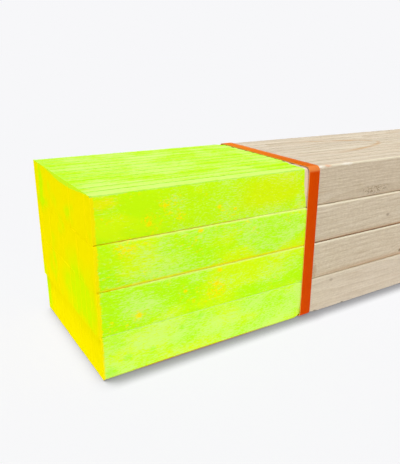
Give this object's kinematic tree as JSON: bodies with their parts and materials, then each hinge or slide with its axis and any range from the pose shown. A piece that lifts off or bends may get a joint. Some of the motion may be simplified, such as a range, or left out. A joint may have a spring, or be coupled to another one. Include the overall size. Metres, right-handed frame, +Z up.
{
  "type": "bundle of survey lath",
  "caption": "Strapped square bundle of sawn softwood survey lath lying on edge in rows, with the tops sprayed bright yellow-green for marking out a site.",
  "frame": {"origin": "on the floor under the middle of the bundle, at the centre of its bounding box's base", "axes": "+Y along the lath, from the painted end to the bare end; +Z up; +X across the bundle, to the right when looking at the painted end"},
  "size_m": [0.1549, 1.2214, 0.154],
  "materials": {
    "lath_wood": "rough-sawn pale softwood, sprayed fluorescent yellow-green over the first 203 mm",
    "strap_plastic": "orange-red polypropylene strapping with a fine waffle texture, unprinted"
  },
  "bodies": {
    "root": {"lath_row1_01": "lath_wood", "lath_row1_02": "lath_wood", "lath_row1_03": "lath_wood", "lath_row1_04": "lath_wood", "lath_row1_05": "lath_wood", "lath_row1_06": "lath_wood", "lath_row1_07": "lath_wood", "lath_row1_08": "lath_wood", "lath_row1_09": "lath_wood", "lath_row1_10": "lath_wood", "lath_row1_11": "lath_wood", "lath_row1_12": "lath_wood", "lath_row2_01": "lath_wood", "lath_row2_02": "lath_wood", "lath_row2_03": "lath_wood", "lath_row2_04": "lath_wood", "lath_row2_05": "lath_wood", "lath_row2_06": "lath_wood", "lath_row2_07": "lath_wood", "lath_row2_08": "lath_wood", "lath_row2_09": "lath_wood", "lath_row2_10": "lath_wood", "lath_row2_11": "lath_wood", "lath_row2_12": "lath_wood", "lath_row3_01": "lath_wood", "lath_row3_02": "lath_wood", "lath_row3_03": "lath_wood", "lath_row3_04": "lath_wood", "lath_row3_05": "lath_wood", "lath_row3_06": "lath_wood", "lath_row3_07": "lath_wood", "lath_row3_08": "lath_wood", "lath_row3_09": "lath_wood", "lath_row3_10": "lath_wood", "lath_row3_11": "lath_wood", "lath_row3_12": "lath_wood", "lath_row4_01": "lath_wood", "lath_row4_02": "lath_wood", "lath_row4_03": "lath_wood", "lath_row4_04": "lath_wood", "lath_row4_05": "lath_wood", "lath_row4_06": "lath_wood", "lath_row4_07": "lath_wood", "lath_row4_08": "lath_wood", "lath_row4_09": "lath_wood", "lath_row4_10": "lath_wood", "lath_row4_11": "lath_wood", "lath_row4_12": "lath_wood", "strap_painted_end": "strap_plastic", "strap_bare_end": "strap_plastic"}
  },
  "joints": []
}
